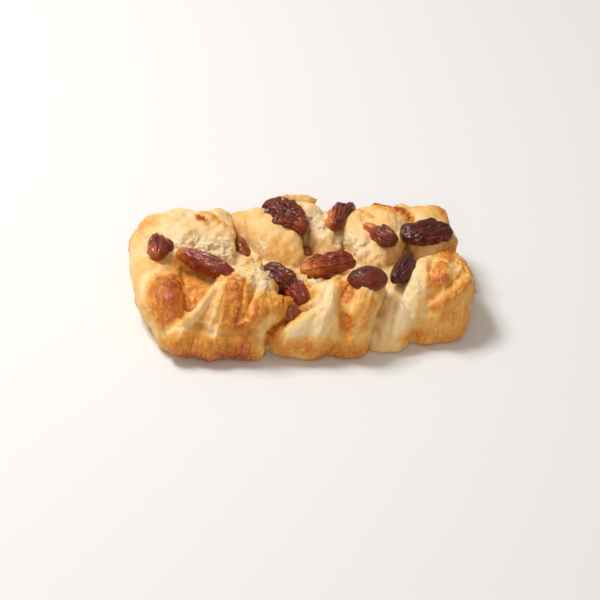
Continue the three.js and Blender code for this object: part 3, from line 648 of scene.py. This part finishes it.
def placed(name, data):
    """An object that holds this data, in the scene."""
    thing = bpy.data.objects.new(name, data)
    bpy.context.scene.collection.objects.link(thing)
    return thing


def new_mesh(name, points, faces):
    """A mesh object from points in millimetres of the plait's own frame."""
    mesh = bpy.data.meshes.new(name)
    mesh.from_pydata(((points - PLAN_MIDDLE) * MM).tolist(), [], faces)
    mesh.update()
    return placed(name, mesh)


def read_vectors(mesh, kind):
    vectors = np.zeros(len(mesh.vertices) * 3)
    mesh.vertices.foreach_get(kind, vectors)
    return vectors.reshape(-1, 3)


def mesh_points(mesh):
    return read_vectors(mesh, "co") / MM + PLAN_MIDDLE


def mesh_normals(mesh):
    return read_vectors(mesh, "normal")


def set_points(mesh, points):
    mesh.vertices.foreach_set("co", ((points - PLAN_MIDDLE) * MM).reshape(-1))
    mesh.update()


def applied(piece):
    """The piece with its modifiers worked into its mesh."""
    graph = bpy.context.evaluated_depsgraph_get()
    mesh = bpy.data.meshes.new_from_object(piece.evaluated_get(graph))
    old = piece.data
    piece.modifiers.clear()
    piece.data = mesh
    bpy.data.meshes.remove(old)
    return piece


def remeshed(piece, voxel_mm):
    """The piece fused into one skin by voxels."""
    modifier = piece.modifiers.new("fuse", "REMESH")
    modifier.mode = "VOXEL"
    modifier.voxel_size = voxel_mm * MM
    return applied(piece)


def thinned(piece, most):
    """The piece with flat stretches merged until it has at most this many triangles."""
    count = sum(len(face.vertices) - 2 for face in piece.data.polygons)
    modifier = piece.modifiers.new("thin", "DECIMATE")
    modifier.ratio = min(1, most / count)
    return applied(piece)


def edge_pairs(mesh):
    pairs = np.zeros(len(mesh.edges) * 2, np.int64)
    mesh.edges.foreach_get("vertices", pairs)
    return pairs.reshape(-1, 2)


def relaxed(points, pairs, rounds):
    """The values moved half way to the mean of their neighbours, a few times over."""
    count, columns = points.shape
    ends = np.concatenate([pairs[:, 0], pairs[:, 1]])
    others = np.concatenate([pairs[:, 1], pairs[:, 0]])
    degree = np.maximum(np.bincount(ends, minlength=count), 1)[:, None]
    for _ in range(rounds):
        mean = np.stack([
            np.bincount(ends, weights=points[others, k], minlength=count)
            for k in range(columns)
        ], -1) / degree
        points = points + (mean - points) * 0.5
    return points


def line_distance(points, path):
    """How far each point is from a line of straight runs."""
    least = np.full(len(points), 1e9)
    for a, b in zip(path[:-1], path[1:]):
        a, b = np.array(a, float), np.array(b, float)
        run = b - a
        t = np.clip((points - a) @ run / (run @ run), 0, 1)
        least = np.minimum(least, np.linalg.norm(points - a - t[:, None] * run, axis=1))
    return least


def marked(points):
    """What the marks do at each point: how far it lifts, and how much it browns."""
    ragged = 1 + ripple(points, MARK_EDGE)
    uneven = 1 + ripple(points, MARK_HEIGHT)
    lift = np.zeros(len(points))
    darker, paler = lift.copy(), lift.copy()
    for rise, reach, darkening, *path in STROKES:
        away = line_distance(points, path) / reach
        if rise > 0:
            profile = 1 - smooth_step(0, RIDGE_END, away * uneven)
        else:
            profile = np.clip(1 - CREASE_FALL * away * uneven, 0, 1) ** CREASE_SHARPNESS
        lift += rise * profile
        paint = darkening * (1 - smooth_step(0.0, PAINT_END, away * ragged))
        darker = np.maximum(darker, paint)
        paler = np.minimum(paler, paint)
    return lift, PAINT * darker + paler


def torn_crumb(points):
    """How far each point shows torn white crumb, with a ragged edge."""
    total = np.zeros(len(points))
    ragged = 1 + ripple(points, CRUMB_EDGE)
    for place, radius, strength in CRUMB:
        away = distance(points, place) / radius
        total = np.maximum(total, strength * (1 - smooth_step(0.45, 1.25, away * ragged)))
    return total


def softened(points, pairs):
    """The points with the folds smoothed over at the softened spots."""
    soft = relaxed(points, pairs, SOFT_ROUNDS)
    blend = np.zeros(len(points))
    for place, inner, outer, share in SOFTENED:
        away = distance(points, place)
        blend = np.maximum(blend, share * (1 - smooth_step(inner, outer, away)))
    return points + (soft - points) * blend[:, None]


def skin_relief(points, flow, crumb, browned):
    """Torn crumb, crackled glaze and wrinkles, in millimetres outward."""
    torn = ripple(points, CRUMB_LUMPS) + ripple(points, CRUMB_GRAIN)
    torn = torn - 0.9 * smooth_step(0.35, 0.9, ripple(points, CRUMB_HOLES))
    crackle = 0.6 - np.abs(ripple(points, CRACKLE))
    wrinkle = 0.5 - np.abs(ripple(flow, WRINKLES))
    glazed = smooth_step(0.25, 0.6, browned)
    fine = CRUMB_HEIGHT * crumb * torn + CRACKLE_HEIGHT * glazed * crackle
    fine = fine + (WRINKLE_HEIGHT + WRINKLE_HEIGHT * glazed) * wrinkle
    place, inner, outer, left = KNOB
    return fine * (left + (1 - left) * smooth_step(inner, outer, distance(points, place)))


def tucked(points):
    """The points with the bottom edge rounded in towards the table."""
    low = np.clip(1 - points[:, 2] / TUCK["height"], 0, 1)
    share = 1 - np.sqrt(1 - low ** 2)
    points = points.copy()
    for k, half in enumerate(TUCK["half"]):
        points[:, k] *= 1 - share * TUCK["inward"] / half
    points[:, 2] = np.maximum(points[:, 2], 0)
    return points


def add_attribute(mesh, name, values):
    kind, key = ("FLOAT", "value") if values.ndim == 1 else ("FLOAT_VECTOR", "vector")
    attribute = mesh.attributes.new(name, kind, "POINT")
    attribute.data.foreach_set(key, values.astype(np.float32).reshape(-1))


def shaded_smooth(piece):
    piece.data.polygons.foreach_set("use_smooth", np.ones(len(piece.data.polygons), bool))
    piece.data.update()
    return piece


def fused_dough():
    """The folds and the base as one skin, with the flow and the bake of each point."""
    grids, flows, bakes = [], [], []
    for number, fold in enumerate(FOLDS.values()):
        points, flow = fold_grid(fold, number)
        grids.append((points, FOLD_GRID))
        flows.append(flow)
        bakes.append(np.full(len(points), fold.bake))
    base = base_points()
    grids.append((base, BASE_GRID))
    x, y, z = base.T
    flows.append(np.stack([x + y, z, np.full_like(z, -FLOW_GAP)], -1))
    bakes.append(np.full(len(base), BASE_BAKE))
    points, faces = joined(grids)
    points[:, 2] = np.maximum(points[:, 2], 0)
    piece = remeshed(new_mesh("plait_dough", points, faces), DOUGH_VOXEL)
    pairs = edge_pairs(piece.data)
    skin = relaxed(mesh_points(piece.data), pairs, 1)
    tree = kdtree.KDTree(len(points))
    for i, point in enumerate(points):
        tree.insert(point, i)
    tree.balance()
    nearest = np.array([tree.find(point)[1] for point in skin])
    bake = relaxed(np.concatenate(bakes)[nearest][:, None], pairs, BAKE_ROUNDS)[:, 0]
    return piece, pairs, skin, np.concatenate(flows)[nearest], bake


def make_dough():
    piece, pairs, skin, flow, bake = fused_dough()
    mesh = piece.data
    lift, browned = marked(skin)
    browned = bake + browned
    crumb = torn_crumb(skin)
    skin = softened(skin, pairs)
    smooth_normals = unit(relaxed(mesh_normals(mesh), pairs, 6))
    above_table = smooth_step(0.2, 1.5, skin[:, 2])
    skin = relaxed(skin + smooth_normals * (lift * above_table)[:, None], pairs, 1)
    set_points(mesh, skin)
    fine = skin_relief(skin, flow, crumb, browned)
    skin = tucked(skin + mesh_normals(mesh) * (fine * above_table)[:, None])
    set_points(mesh, skin)
    normals = mesh_normals(mesh)
    for name, (rounds, gain) in HEIGHTS.items():
        height = np.sum((skin - relaxed(skin, pairs, rounds)) * normals, axis=1)
        add_attribute(mesh, name, np.clip(height * gain, -1, 1))
    add_attribute(mesh, "browned", browned)
    add_attribute(mesh, "crumb", crumb)
    add_attribute(mesh, "flow", flow)
    return shaded_smooth(thinned(piece, MOST_TRIANGLES))


def make_filling():
    tilt, turn = ball_angles(WELL_GRID)
    ball = np.stack([np.cos(tilt), np.sin(tilt) * np.cos(turn), np.sin(tilt) * np.sin(turn)], -1)
    grids = [
        (turned_flat(ball * size / 2, degrees) + at, WELL_GRID)
        for at, size, degrees in WELLS
    ]
    piece = remeshed(new_mesh("sticky_filling", *joined(grids)), FILLING_VOXEL)
    mesh = piece.data
    skin, normals = mesh_points(mesh), mesh_normals(mesh)
    set_points(mesh, skin + normals * ripple(skin, FILLING_LUMPS)[:, None])
    return shaded_smooth(piece)


def flake_grid(flake, seed):
    """A thin sheet that curls along its length and tapers to a ragged end."""
    at, (turn, tilt, roll), (length, width, thick), curl, bake = flake
    rings, sides = FLAKE_GRID
    torn_edge, torn_end, wavy = FLAP_WAVER if length > FLAP_LENGTH else FLAKE_WAVER
    u, around = crossed(np.linspace(0, 1, rings), full_turn(sides))
    none = np.zeros_like(u)
    side, top = signed_power(np.cos(around), 0.6), signed_power(np.sin(around), 0.9)
    bend = math.radians(curl)
    line = np.stack([np.sin(bend * u) / bend, none, (1 - np.cos(bend * u)) / bend], -1)
    outward = np.stack([-np.sin(bend * u), none, np.cos(bend * u)], -1)
    ends = np.sqrt(np.clip(1 - (2 * u - 1) ** 6, 0, 1))
    tear = ripple(np.stack([u * length, np.sign(side), none], -1), FLAKE_TEAR, seed)
    wide = width / 2 * (1 - 0.6 * u ** 2.0) * ends * (1 + torn_edge * tear)
    thin = thick / 2 * ends * (1 - 0.5 * u)
    reach = 1 + torn_end * u * noise(np.stack([side * 3.5, none, none], -1), seed + 2)
    points = line * length * reach[:, None] + outward * (thin * top)[:, None]
    points[:, 1] += wide * side
    wave = ripple(np.stack([u * length, points[:, 1], none], -1), FLAKE_WAVE, seed)
    points = points + outward * (wave * wavy * width)[:, None]
    rotation = Matrix.Identity(3)
    for degrees, axis in ((turn, "Z"), (-tilt, "Y"), (roll, "X")):
        rotation = rotation @ Matrix.Rotation(math.radians(degrees), 3, axis)
    return points @ np.array(rotation).T + at, bake + 0.2 * u ** 3


def make_flakes():
    grids, bakes = [], []
    for number, flake in enumerate(FLAKES):
        points, bake = flake_grid(flake, FLAKE_SEED + SEED_STEP * number)
        grids.append((points, FLAKE_GRID))
        bakes.append(bake)
    points, faces = joined(grids)
    piece = new_mesh("pastry_flakes", points, faces)
    browned = np.concatenate(bakes) + ripple(points, FLAKE_TONE)
    add_attribute(piece.data, "browned", browned)
    add_attribute(piece.data, "flow", points)
    return shaded_smooth(piece)


def nut_lobe(half, point, wrinkles, seed):
    """One lobe of a nut: a domed oval with a middle groove and wavy ribs along it."""
    cleft, ribs, rough = wrinkles
    tilt, turn = ball_angles(NUT_GRID)
    full = np.sin(tilt).clip(0) ** point
    x, across, up = np.cos(tilt), np.cos(turn), np.sin(turn)
    place = np.stack([x * half[0], across * full * half[1], up * full * half[2]], -1)
    bend = across + ripple(place, NUT_BEND, seed)
    groove = np.exp(-((bend / GROOVE_WIDTH) ** 2)) * (up > -0.3)
    wave = np.abs(np.sin(math.pi * (ribs * bend + ripple(place, RIB_WAVE, seed))))
    swell = 1 + rough * (RIB_HEIGHT * (wave - 0.6) + ripple(place, NUT_GRAIN, seed))
    swell = swell + ripple(place, NUT_LUMPS, seed) - cleft * groove
    swell = 1 + (swell - 1) * smooth_step(0.1, 0.7, full)
    wide = half[1] * (1 + 0.10 * noise(place * (0.3, 0, 0), seed + 4))
    return np.stack([x * half[0], across * full * wide * swell, up * full * half[2] * swell], -1)


def make_pecan(number, nut):
    half = np.array(nut.size) / 2
    grids = []
    for k, (x, y, z, long, wide, high, yaw) in enumerate(nut.lobes):
        seed = LOBE_SEED + NUT_STEP * number + LOBE_STEP * k
        lobe = nut_lobe(half * (long, wide, high), nut.point, nut.wrinkles, seed)
        grids.append((turned_flat(lobe, yaw) + half * (x, y, z), NUT_GRID))
    piece = remeshed(new_mesh(f"glazed_pecan_{number:02d}", *joined(grids)), NUT_VOXEL)
    mesh = piece.data
    pairs = edge_pairs(mesh)
    normals = mesh_normals(mesh)
    seed = NUT_SEED + NUT_STEP * number
    rough = nut.wrinkles[-1]
    skin = relaxed(mesh_points(mesh), pairs, 2)
    skin = skin + normals * (NUT_SKIN_HEIGHT * rough * ripple(skin, NUT_SKIN, seed))[:, None]
    creases = np.sum((skin - relaxed(skin, pairs, 14)) * normals, axis=1)
    x, y, strength = nut.glow
    side = (skin[:, 0] / half[0] * x + skin[:, 1] / half[1] * y) / math.hypot(x, y)
    side = side + ripple(skin, NUT_TONE, seed)
    set_points(mesh, turned_flat(skin, nut.turn) + nut.at)
    add_attribute(mesh, "crease", np.clip(creases * 3, -1, 1))
    add_attribute(mesh, "tone", nut.tone + strength * smooth_step(0.1, 1.0, side))
    return shaded_smooth(piece)


def linear(red, green, blue):
    """A colour given as seen on screen, 0 to 255, as light."""
    share = [c / 255 for c in (red, green, blue)]
    return tuple(c / 12.92 if c <= 0.04045 else ((c + 0.055) / 1.055) ** 2.4 for c in share)


class Nodes:
    """A short way to add and join shader nodes."""

    def __init__(self, name):
        self.material = bpy.data.materials.new(name)
        self.material.use_nodes = True
        self.tree = self.material.node_tree
        self.shader = self.tree.nodes["Principled BSDF"]

    def add(self, kind, inputs, **settings):
        node = self.tree.nodes.new(kind)
        for key, value in settings.items():
            setattr(node, key, value)
        self.fill(node, inputs)
        return node

    def fill(self, node, inputs):
        """Set each input to its number or colour, or link it to its node."""
        for key, value in inputs.items():
            if isinstance(value, bpy.types.NodeSocket):
                self.tree.links.new(value, node.inputs[key])
            else:
                node.inputs[key].default_value = value

    def place(self):
        return self.add("ShaderNodeTexCoord", {}).outputs["Object"]

    def attribute(self, name, output="Fac"):
        return self.add("ShaderNodeAttribute", {}, attribute_name=name).outputs[output]

    def maths(self, operation, a, b, clamp=False):
        node = self.add("ShaderNodeMath", {0: a, 1: b}, operation=operation, use_clamp=clamp)
        return node.outputs[0]

    def weighted(self, total, terms):
        """The total with each term's distance from its middle added by its share."""
        for value, middle, share in terms:
            offset = self.maths("SUBTRACT", value, middle)
            total = self.maths("ADD", total, self.maths("MULTIPLY", offset, share))
        return total

    def stretched(self, vector, scale):
        node = self.add("ShaderNodeVectorMath", {0: vector, 1: scale}, operation="MULTIPLY")
        return node.outputs[0]

    def mapped(self, value, low, high, to_low, to_high):
        node = self.add(
            "ShaderNodeMapRange", {0: value, 1: low, 2: high, 3: to_low, 4: to_high})
        return node.outputs[0]

    def noise(self, vector, scale, detail, roughness):
        node = self.add("ShaderNodeTexNoise", {
            "Vector": vector, "Scale": scale, "Detail": detail, "Roughness": roughness})
        return node.outputs["Fac"]

    def ramp(self, value, stops):
        """A colour that runs through the stops, which are given as seen on screen."""
        node = self.add("ShaderNodeValToRGB", {"Fac": value})
        ramp = node.color_ramp
        while len(ramp.elements) < len(stops):
            ramp.elements.new(0.5)
        for element, (at, colour) in zip(ramp.elements, stops):
            element.position = at
            element.color = (*linear(*colour), 1)
        return node.outputs["Color"]

    def mix(self, amount, a, b, blend="MIX"):
        node = self.add("ShaderNodeMix", {}, data_type="RGBA", blend_type=blend)
        self.fill(node, {0: amount, 6: a, 7: b})
        return node.outputs[2]

    def bump(self, height, strength, distance):
        node = self.add(
            "ShaderNodeBump", {"Height": height, "Strength": strength, "Distance": distance})
        return node.outputs[0]


def dough_material():
    n = Nodes("baked_dough")
    place = n.place()
    flow = n.attribute("flow", "Vector")
    ridge, crest, browned, crumb = map(n.attribute, ("ridge", "crest", "browned", "crumb"))
    streaks = n.noise(n.stretched(flow, (0.05, 0.42, 1)), 1, 4, 0.6)
    layer_lines = n.noise(n.stretched(flow, (0.25, 1.2, 1)), 1, 3, 0.6)
    blotches = n.noise(place, 90, 4, 0.6)
    specks = n.noise(place, 900, 2, 0.5)
    brown = n.weighted(browned, (
        (ridge, 0, 0.12), (crest, 0, 0.12), (streaks, 0.5, 0.14), (blotches, 0.5, 0.44),
        (specks, 0.5, 0.12)))
    # Pale flecks on the browned crust: partly its crackled glaze, partly painted glints of light
    glint_flecks = n.mapped(n.noise(place, 1000, 4, 0.7), 0.46, 0.66, 0, 1)
    glint_paling = n.maths("MULTIPLY", glint_flecks, n.maths("MULTIPLY", browned, 0.3, clamp=True))
    brown = n.maths("SUBTRACT", brown, glint_paling)
    # Pale streaks along the layer lines on browned crust: partly paler layer edges, partly
    # painted glints of light
    edges = n.mapped(layer_lines, 0.5, 0.66, 0, 0.3)
    brown = n.maths("SUBTRACT", brown, n.maths("MULTIPLY", edges, browned))
    brown = n.maths("SUBTRACT", brown, n.maths("MULTIPLY", crumb, 0.22), clamp=True)
    crust = n.ramp(brown, (
        (0, (246, 216, 168)), (0.2, (240, 197, 128)), (0.4, (230, 166, 72)),
        (0.6, (216, 134, 34)), (0.8, (194, 94, 16)), (1, (146, 54, 10))))
    white = n.ramp(n.noise(place, 700, 3, 0.6), (
        (0.3, (206, 174, 122)), (0.6, (240, 222, 184))))
    colour = n.mix(n.maths("MULTIPLY", crumb, 0.75, clamp=True), crust, white)
    # Painted shade: the colour is multiplied towards a warm brown in the hollows, where a point
    # lies below its surroundings
    painted_crease_shade = n.ramp(n.maths("MULTIPLY", crest, -1), (
        (0.1, (255, 255, 255)), (0.9, (232, 208, 156))))
    height = n.weighted(n.maths("MULTIPLY", layer_lines, 0.3), (
        (n.noise(place, 1500, 3, 0.6), 0, 0.18),
        (n.noise(place, 420, 2, 0.5), 0, 0.45)))
    n.fill(n.shader, {
        "Base Color": n.mix(1, colour, painted_crease_shade, "MULTIPLY"),
        "Roughness": n.mapped(brown, 0.1, 0.8, 0.6, 0.42),
        "Specular IOR Level": 0.35,
        "Coat Weight": n.mapped(brown, 0.2, 0.8, 0.04, 0.42),
        "Coat Roughness": 0.12,
        "Subsurface Weight": 0.25,
        "Subsurface Radius": (1, 0.55, 0.25),
        "Subsurface Scale": 0.002,
        "Normal": n.bump(height, 0.85, 0.001),
        "Coat Normal": n.bump(n.noise(place, 1000, 3, 0.65), 0.9, 0.001),
    })
    return n.material


def glossy(n, colour, roughness, coat, height):
    """A glossy material with fine relief under a clear coat (weight, roughness)."""
    n.fill(n.shader, {
        "Base Color": colour,
        "Roughness": roughness,
        "Specular IOR Level": 0.3,
        "Coat Weight": coat[0],
        "Coat Roughness": coat[1],
        "Normal": n.bump(height, 0.5, 0.0005),
    })
    return n.material


def pecan_material():
    n = Nodes("glazed_pecan")
    place = n.place()
    blotches = n.noise(place, 220, 4, 0.6)
    grain = n.noise(place, 1100, 3, 0.6)
    tone = n.weighted(n.attribute("tone"), (
        (blotches, 0.5, 0.7), (n.attribute("crease"), 0, 0.2), (grain, 0.5, 0.15)))
    colour = n.ramp(tone, (
        (0, (50, 14, 8)), (0.25, (94, 28, 13)), (0.5, (138, 52, 20)),
        (0.75, (178, 84, 30)), (1, (212, 126, 54))))
    return glossy(n, colour, n.mapped(grain, 0.3, 0.7, 0.24, 0.46), (0.28, 0.07), grain)


def filling_material():
    n = Nodes("sticky_filling")
    place = n.place()
    tone = n.noise(place, 220, 4, 0.6)
    colour = n.ramp(tone, ((0.25, (92, 38, 14)), (0.5, (146, 74, 28)), (0.75, (190, 118, 54))))
    height = n.noise(place, 700, 3, 0.55)
    return glossy(n, colour, n.mapped(tone, 0.3, 0.7, 0.18, 0.4), (0.4, 0.1), height)


def make_camera():
    camera = placed("camera", bpy.data.cameras.new("camera"))
    camera.data.sensor_width = SENSOR_MM
    camera.data.lens = LENS_MM
    camera.data.clip_start, camera.data.clip_end = CLIP
    flat = Vector((math.sin(YAW), math.cos(YAW), 0))
    forward = flat * math.cos(ELEVATION) - Vector((0, 0, math.sin(ELEVATION)))
    right = forward.cross(Vector((0, 0, 1))).normalized()
    up = right.cross(forward)
    tilted = right * math.cos(ROLL) + up * math.sin(ROLL)
    upright = up * math.cos(ROLL) - right * math.sin(ROLL)
    axes = Matrix((tilted, upright, -forward)).transposed().to_4x4()
    place = flat * AIM_MM * MM - Vector(PLAN_MIDDLE) * MM - forward * DISTANCE
    camera.matrix_world = Matrix.Translation(place) @ axes
    bpy.context.scene.camera = camera


def make_light(name, power, size, place, colour):
    light = placed(name, bpy.data.lights.new(name, "AREA"))
    light.data.energy = power
    light.data.size = size
    light.data.color = colour
    light.location = place
    light.rotation_mode = "QUATERNION"
    light.rotation_quaternion = (Vector(LIGHT_AIM) - Vector(place)).to_track_quat("-Z", "Y")


def make_stage():
    mesh = bpy.data.meshes.new("table_top")
    signs = ((-1, -1), (1, -1), (1, 1), (-1, 1))
    corners = [(x * TABLE_REACH, y * TABLE_REACH, 0) for x, y in signs]
    mesh.from_pydata(corners, [], [(0, 1, 2, 3)])
    floor = placed("table_top", mesh)
    n = Nodes("pale_table")
    n.fill(n.shader, TABLE)
    mesh.materials.append(n.material)
    world = bpy.data.worlds.new("studio")
    world.use_nodes = True
    for key, value in SKY.items():
        world.node_tree.nodes["Background"].inputs[key].default_value = value
    bpy.context.scene.world = world
    for light in LIGHTS:
        make_light(*light)
    bpy.context.scene.view_settings.view_transform = "Standard"


make_camera()
make_stage()

crust = dough_material()
dough = make_dough()
dough.data.materials.append(crust)
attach(dough, "root")
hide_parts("dough")

flakes = make_flakes()
flakes.data.materials.append(crust)
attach(flakes, "root")

filling = make_filling()
filling.data.materials.append(filling_material())
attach(filling, "root")
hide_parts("filling")

nut_material = pecan_material()
for number, pecan in enumerate(PECANS, start=1):
    nut = make_pecan(number, pecan)
    nut.data.materials.append(nut_material)
    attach(nut, "root")
    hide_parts(f"pecan_{number:02d}")
